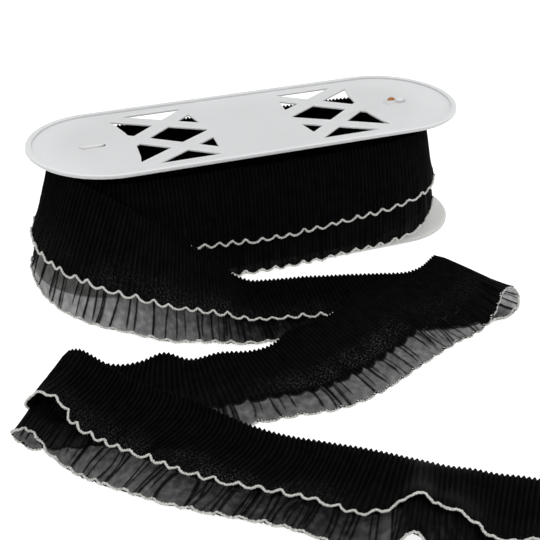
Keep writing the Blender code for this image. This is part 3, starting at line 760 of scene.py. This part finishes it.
shortFrill = {
    "shares": (0, 0.012, 0.04, 0.09, 0.16, 0.25, 0.34, 0.42, 0.49, 0.55, 0.60, 0.64, 0.67, 0.70),
    "side": 1,
    "hemColumn": -1,
    "offset": 0.95,
    "depth": ((0, 0.02, 0.12, 0.45, 0.62, 0.7), (0.5, 0.6, 0.7, 0.6, 0.4, 0.2)),
    "waveLift": ((0, 0.45, 0.6, 0.7), (0, 0.0, 0.5, 1.0)),
    "creaseHeight": ((0, 1.0), (0, 0)),
    "hemPull": ((0, 0.52, 0.7), (0, 0.0, 2.6)),
    "density": ((0, 0.62, 0.7), (9.0, 9.0, 6.0)),
}
frillWork = {
    "lean": 0.5,  # how far the pleats lean over, share of their depth
    "sharpness": 0.97,  # of the pleats' ridges
    "depthStray": 0.2,  # of the pleats' depth
    "seamOffset": (0.25, 0.12),  # share of the offset left at the heading, and how broad that place is
    "bow": (0.66, 0.8),  # the pleats bow above this share; the bow's shape
    "teeth": 0.75,  # mm that each pleat's end stands out at the heading
    "teethRest": 0.3,  # of that, how far its sides stand back
    "stray": ((0.7, 9.0), (0.2, 1.1)),  # of a pleat, pleats: how the pleats wander below the heading
    "headingSway": ((0.6, 5.0), (0.6, 31.0)),  # mm, pleats
    "raggedHem": (0.25, 0.9),  # mm, pleats
    "waveRest": 0.35,  # of the wave, where the hem isn't pulled
    "edgeUnder": 1.2,  # mm that the long frill's edge draws in under its cord, but not at the waves' points
    "edgeStray": (0.25, 1.6),  # of that, pleats
    "edgeWave": 1.1,
    "lowestPoint": 0.15,  # mm above the floor
    "creaseLean": 0.5,
    "creaseDensity": 5.5,
    "lapDensity": 0.5,
    "sheerShade": ((0.7, 0.8, 1.0), (1.25, 1.0, 0.88)),  # painted shadow: the band is darker under the short hem
    "fleckedFrom": (0.38, 0.6),  # glints grow between these shares
    "fleckedTo": 0.69,
    "seeds": {"stray": 3, "depth": 5, "ragged": 6, "edge": 8, "sway": 40},
}


def readAcross(pair, shares):
    return np.interp(shares, *pair)


def shapeFrill(f):
    pleat, along, side, up = strip["pleat"], strip["along"], f["side"], strip["up"][:, None]
    w, seeds = frillWork, frillWork["seeds"]
    shares = np.array(f["shares"], float)
    weights = smoothRead(tableShares, np.eye(4), shares)
    middle = np.einsum("kc,ncd->nkd", weights, strip["controls"])
    bowShare, bowPower = w["bow"]
    bowed = np.sin(math.pi * np.clip(shares / bowShare, 0, 1) ** bowPower)
    for column, bow in enumerate(bowed):
        for axis in range(3):
            bent = np.interp(along + bow * strip["bow"], along, middle[:, column, axis])
            middle[:, column, axis] = bent
    steps = unit(np.diff(middle, axis=0) + 1e-9)
    tangent = unit(np.concatenate((steps[:1], steps[:-1] + steps[1:], steps[-1:])))
    across = unit(np.gradient(middle, axis=1))
    normal = unit(np.cross(across, tangent))

    atSeam, seamBreadth = w["seamOffset"]
    offset = f["offset"] * (atSeam + (1 - atSeam) * ramp(shares, 0.0, seamBreadth))
    lift = side * offset[None, :] * np.ones((len(pleat), 1))
    if side > 0:
        lift = lift + strip["puff"][:, None] * (shares / shares[-1])[None, :] ** 2
    doubled = shares <= trim["shortShare"] + 0.001
    middle[:, doubled, 2] = np.maximum(middle[:, doubled, 2], trim["lowestMiddle"])

    # the pleats: a sharp ridge each, that wanders a little below the heading
    stray = wanderSum(pleat, w["stray"], seeds["stray"])
    phase = pleat[:, None] + stray[:, None] * ramp(shares, 0.1, 0.9)[None, :]
    uneven = 1 + w["depthStray"] * wander(pleat, 1.0, seeds["depth"])
    depth = readAcross(f["depth"], shares)[None, :] * uneven[:, None]
    ridge = 2 / math.pi * np.arcsin(w["sharpness"] * np.sin(2 * math.pi * phase))
    leaning = w["lean"] * ramp(shares, 0.02, 0.15)[None, :]
    teeth = np.abs(np.cos(math.pi * (phase - 0.25 * up))) - w["teethRest"]
    teeth = w["teeth"] * (shares == 0)[None, :] * teeth

    # the hem's waves and the creases that they press into the sheer band
    wave = (zigzag(strip["waveTurn"], strip["waveBreadth"]) * strip["waveHeight"])[:, None]
    height, lean, lap = creases(strip["waveTurn"], shares, strip["fineCreases"])
    acrossKeys = ("waveLift", "creaseHeight", "hemPull")
    waveLift, creaseHeight, hemPull = (readAcross(f[key], shares)[None, :] for key in acrossKeys)
    out = lift + depth * ridge + (waveLift * wave + creaseHeight * height) * up
    sideways = leaning * depth * ridge + w["creaseLean"] * creaseHeight * lean
    raggedSize, raggedEvery = w["raggedHem"]
    ragged = raggedSize * wander(pleat, raggedEvery, seeds["ragged"] + side)[:, None] * (hemPull > 0)
    if side < 0:
        hemPull = hemPull * strip["longWave"][:, None]
    sway = wanderSum(pleat, w["headingSway"], seeds["sway"])
    swaying = sway[:, None] * ramp(-shares, -0.4, 0.0)[None, :]
    inward = hemPull * (wave - w["waveRest"]) + ragged + teeth + swaying
    if f["hemColumn"] == -2:
        strayUnder = wanderSum(pleat, [w["edgeStray"]], seeds["edge"])
        under = 1.0 + strayUnder - w["edgeWave"] * wave[:, 0] / strip["waveHeight"]
        inward[:, -1] += w["edgeUnder"] * np.clip(under, 0, 1)
    points = middle + normal * out[:, :, None] + tangent * sideways[:, :, None]
    points = points - across * inward[:, :, None]
    points[:, :, 2] = np.maximum(points[:, :, 2], w["lowestPoint"])

    solid = readAcross(f["density"], shares)[None, :]
    sheer = strip["density"][:, None] * readAcross(w["sheerShade"], shares)[None, :]
    creased = sheer + w["creaseDensity"] * height + w["lapDensity"] * lap
    lowerHalf = ramp(shares, *w["fleckedFrom"])[None, :] * (shares < w["fleckedTo"])
    return {
        "points": points,
        "normals": normal,
        "shares": shares,
        "hemColumn": f["hemColumn"],
        "values": {
            "clothDensity": solid + creased * (solid < 0.01),
            # painted light: 1 on the pleats' ridges, 0 in their valleys
            "pleatTop": 0.5 + 0.5 * ridge * up,
            "flecked": strip["flecked"][:, None] * lowerHalf,
        },
    }


def sheetObject(name, points, values, flat, finish):  # a grid of points as a piece of cloth
    n, k = points.shape[:2]
    index = np.arange(n * k).reshape(n, k)
    corners = (index[:-1, :-1], index[:-1, 1:], index[1:, 1:], index[1:, :-1])
    quads = np.stack(corners, axis=-1).reshape(-1, 4)
    mesh = bpy.data.meshes.new(name)
    mesh.from_pydata((points * mm).reshape(-1, 3).tolist(), [], quads.tolist())
    uv = mesh.uv_layers.new(name="cloth")
    uv.data.foreach_set("uv", (flat * mm).reshape(-1, 2)[quads.ravel()].ravel())
    for key, value in values.items():
        data = mesh.attributes.new(key, "FLOAT", "POINT").data
        data.foreach_set("value", value.astype(np.float32).ravel())
    return addPiece(name, mesh, finish)


def addPiece(name, mesh, finish):
    mesh.polygons.foreach_set("use_smooth", np.ones(len(mesh.polygons), bool))
    mesh.materials.append(finish)
    piece = bpy.data.objects.new(name, mesh)
    bpy.context.scene.collection.objects.link(piece)
    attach(piece, "root")
    return piece


def frillObject(name, shape, first, last, finish):  # one frill, or the part of it between two stations
    along = strip["pleat"][first:last] * trim["pitch"] * trim["fullness"]
    across = shape["shares"] * trim["width"]
    flat = np.stack(np.broadcast_arrays(along[:, None], across[None, :]), axis=-1)
    values = {key: value[first:last] for key, value in shape["values"].items()}
    return sheetObject(name, shape["points"][first:last], values, flat, finish)


shortOverlock = {
    "radius": 0.55,
    "sides": 7,
    "step": 0.26,
    "ridge": 1.05,  # mm from one wrap of thread to the next
    "ridgeDepth": 0.2,
    "ridgeStray": (0.25, 1.3),  # mm, and how often it turns, mm
    "swell": (0.15, 2.0),  # of the radius, mm
    "seed": 21,
    "proud": 0.3,  # mm that the cord stands off the cloth
    "lowest": 0.05,
}
longOverlock = {**shortOverlock, "radius": 0.52, "ridge": 1.5, "ridgeDepth": 0.28, "proud": 0.46}


def hemCord(name, shape, first, last, o, finish):  # a cord of wrapped thread along a frill's edge
    column = shape["hemColumn"]
    line, normals = shape["points"][first:last, column], shape["normals"][first:last, column]
    lengths = np.concatenate(([0.0], np.cumsum(np.linalg.norm(np.diff(line, axis=0), axis=1))))
    keep = np.concatenate(([True], np.diff(lengths) > 1e-6))
    lengths, line, normals = lengths[keep], line[keep], normals[keep]
    at = np.arange(0.0, lengths[-1], o["step"])
    centre = np.stack([np.interp(at, lengths, line[:, i]) for i in range(3)], axis=1)
    smooth = np.pad(centre, ((2, 2), (0, 0)), mode="edge")
    centre = (smooth[:-4] + 2 * smooth[1:-3] + 2 * smooth[2:-2] + 2 * smooth[3:-1] + smooth[4:]) / 8
    out = unit(np.stack([np.interp(at, lengths, normals[:, i]) for i in range(3)], axis=1))
    tangent = unit(np.gradient(centre, axis=0))
    side = unit(np.cross(tangent, out))
    out = np.cross(side, tangent)
    centre = centre + out * o["proud"]

    angles = 2 * math.pi * np.arange(o["sides"]) / o["sides"]
    wraps = at + wanderSum(at, [o["ridgeStray"]], o["seed"])
    swell = 1 + wanderSum(at, [o["swell"]], o["seed"] + 1)
    ridges = np.cos(2 * math.pi * wraps[:, None] / o["ridge"] - angles[None, :])
    radius = o["radius"] * (swell[:, None] + o["ridgeDepth"] * ridges)
    outwards = np.cos(angles)[None, :, None] * out[:, None, :]
    sideways = np.sin(angles)[None, :, None] * side[:, None, :]
    points = centre[:, None, :] + radius[:, :, None] * (outwards + sideways)
    points[:, :, 2] = np.maximum(points[:, :, 2], o["lowest"])
    n, k = points.shape[:2]
    index = np.arange(n * k).reshape(n, k)
    nextAround = np.roll(index, -1, axis=1)
    corners = (index[:-1], nextAround[:-1], nextAround[1:], index[1:])
    quads = np.stack(corners, axis=-1).reshape(-1, 4).tolist()
    ends = [index[0][::-1].tolist(), index[-1].tolist()]
    mesh = bpy.data.meshes.new(name)
    mesh.from_pydata((points * mm).reshape(-1, 3).tolist(), [], quads + ends)
    return addPiece(name, mesh, finish)


longShape, shortShape = shapeFrill(longFrill), shapeFrill(shortFrill)
seam, last = strip["seam"], len(strip["pleat"])
tailLong = frillObject("tailLongFrill", longShape, seam, last, longFinish)
tailShort = frillObject("tailShortFrill", shortShape, seam, last, shortFinish)
woundLong = frillObject("woundLongFrill", longShape, 0, seam + 1, woundFinish)
woundShort = frillObject("woundShortFrill", shortShape, 0, seam + 1, woundFinish)
tailLongHem = hemCord("tailLongHem", longShape, seam, last, longOverlock, lowerThreadFinish)
tailShortHem = hemCord("tailShortHem", shortShape, seam, last, shortOverlock, lighterThreadFinish)
# painted light: the wound long hem is the tail's long-hem thread, given the lighter finish to look lit
# where it lies in shade
woundLongHem = hemCord("woundLongHem", longShape, 0, seam, longOverlock, lighterThreadFinish)
woundShortHem = hemCord("woundShortHem", shortShape, 0, seam, shortOverlock, lighterThreadFinish)
print("frills and hems done")


# Inner turns of the winding, wound about the two posts

innerTurns = {
    "centre": (86.5, 70.0),  # where the ends' arcs have their middle, first turn and last
    "radius": (7.0, 31.0),
    "turns": 14,
    "parts": 200,  # of a turn
    "samples": 4,  # for each pleat
    "rows": ((0, 57.0), (0.02, 56.0), (0.35, 42.0), (0.7, 24.0), (1.0, 3.4)),  # share of the lean, height
    # at the left end and at the right: how far the lower edge is drawn up, and where that starts and ends
    "drawnUp": ((21.0, 52.0, 80.0), (12.0, 50.0, 95.0)),
    "lean": 8.0,
    "depth": 0.7,
    "teeth": 0.35,
    "ridgeStray": (0.3, 3.0),
    "headingSway": ((0.9, 60.0), (0.4, 9.0)),
    "seed": 31,
}


def windInnerTurns(t):
    lane = []
    for turn in range(t["turns"]):
        for part in range(t["parts"]):
            share = (turn + part / t["parts"]) / t["turns"]
            radius, centre = (first + (last - first) * share for first, last in (t["radius"], t["centre"]))
            perimeter = 4 * centre + 2 * math.pi * radius
            lane.append(stadiumPoint(centre, radius, part / t["parts"] * perimeter))
    lane = np.array(lane)
    lengths = np.concatenate(([0.0], np.cumsum(np.linalg.norm(np.diff(lane[:, :2], axis=0), axis=1))))
    at = np.arange(0.0, lengths[-1], trim["pitch"] / t["samples"])
    x, y, outX, outY, radii = (np.interp(at, lengths, lane[:, i]) for i in range(5))
    pleat = at / trim["pitch"]
    ridge = np.sin(2 * math.pi * (pleat + wanderSum(pleat, [t["ridgeStray"]], t["seed"])))
    heading = wanderSum(at, t["headingSway"], t["seed"] + 1)
    drawn = sum(size * ramp(side * x, low, high) for side, (size, low, high) in zip((-1, 1), t["drawnUp"]))
    grid = np.empty((len(at), len(t["rows"]), 3))
    for k, (share, height) in enumerate(t["rows"]):
        out = share * t["lean"] * radii / t["radius"][1] + t["depth"] * ridge * (1 - 0.4 * share)
        grid[:, k, 0] = x + outX * out
        grid[:, k, 1] = y + outY * out
        teeth = t["teeth"] * np.abs(ridge) if k == 0 else 0
        grid[:, k, 2] = height + heading * (1 - share) + teeth + share ** 2 * drawn
    across = np.array([row[0] for row in t["rows"]]) * trim["width"]
    flat = np.stack(np.broadcast_arrays(at[:, None] * trim["fullness"], across[None, :]), axis=-1)
    # painted light: 1 on the pleats' ridges, 0 in their valleys
    pleatTop = np.broadcast_to((0.5 + 0.5 * ridge)[:, None], grid.shape[:2])
    return grid, flat, {"clothDensity": np.full(grid.shape[:2], 9.0), "pleatTop": pleatTop}


# A point of one oblong turn, walked from the left end's tip: x, y, outward x, outward y and the radius
def stadiumPoint(centre, radius, walked):
    quarter, side, arc = math.pi / 2 * radius, 2 * centre, math.pi * radius

    def onArc(middle, angle):
        outX, outY = math.cos(angle), math.sin(angle)
        return (middle + radius * outX, radius * outY, outX, outY, radius)

    if walked < quarter:
        return onArc(-centre, math.pi + walked / radius)
    walked -= quarter
    if walked < side:
        return (-centre + walked, -radius, 0.0, -1.0, radius)
    walked -= side
    if walked < arc:
        return onArc(centre, 1.5 * math.pi + walked / radius)
    walked -= arc
    if walked < side:
        return (centre - walked, radius, 0.0, 1.0, radius)
    return onArc(-centre, 0.5 * math.pi + (walked - side) / radius)


innerGrid, innerFlat, innerValues = windInnerTurns(innerTurns)
innerCloth = sheetObject("innerTurns", innerGrid, innerValues, innerFlat, woundFinish)
print("inner turns done")


# What fills the slots of the upper flange

slotBits = [  # name, middle, half length and breadth, height above the plate, finish
    ("slotCapLeft", (-86.9, 0.8), (6.9, 2.9), 0.9, capFinish),
    ("slotCapRight", (87.4, 0.3), (7.6, 2.7), 0.45, postFinish),
    ("slotPegRight", (89.7, -0.7), (2.9, 1.9), 2.1, postFinish),
    ("slotScrapRight", (86.1, 2.7), (2.2, 1.7), 1.5, scrapFinish),
]
slotLump = {"plateTop": 67.4, "rooted": 0.4, "rings": 6, "sides": 20, "square": 0.9, "shoulder": 0.7}


def addLump(name, middle, half, height, finish, t):  # a low rounded lump, rooted a little in the plate
    points = []
    for ring in range(t["rings"]):
        rise = math.pi / 2 * ring / t["rings"]
        for side in range(t["sides"]):
            turn = 2 * math.pi * side / t["sides"]
            across = [math.copysign(abs(v) ** t["square"], v) for v in (math.cos(turn), math.sin(turn))]
            x, y = (middle[i] + half[i] * across[i] * math.cos(rise) ** t["shoulder"] for i in (0, 1))
            points.append((x, y, t["plateTop"] - t["rooted"] + (height + t["rooted"]) * math.sin(rise)))
    points.append((*middle, t["plateTop"] + height))
    n = t["sides"]
    faces = [tuple(reversed(range(n)))]
    for ring in range(t["rings"] - 1):
        for side in range(n):
            a, b = ring * n + side, ring * n + (side + 1) % n
            faces.append((a, b, b + n, a + n))
    top = (t["rings"] - 1) * n
    faces += [(top + side, top + (side + 1) % n, top + n) for side in range(n)]
    mesh = bpy.data.meshes.new(name)
    mesh.from_pydata([[v * mm for v in point] for point in points], [], faces)
    return addPiece(name, mesh, finish)


for bit in slotBits:
    addLump(*bit, slotLump)
print("slots filled")


# Hide the frame's parts that the cloth pieces stand in for

for piece, node, slotName in (
    (tailLong, "tail_long_frill", "long_frill_cloth"),
    (tailLongHem, "tail_long_frill", "long_frill_cloth"),
    (tailShort, "tail_short_frill", "short_frill_cloth"),
    (tailShortHem, "tail_short_frill", "short_frill_cloth"),
    (woundLong, "winding", "wound_cloth"),
    (woundShort, "winding", "wound_cloth"),
    (woundLongHem, "winding", "wound_cloth"),
    (woundShortHem, "winding", "wound_cloth"),
    (innerCloth, "winding", "wound_cloth"),
):
    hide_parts(node)
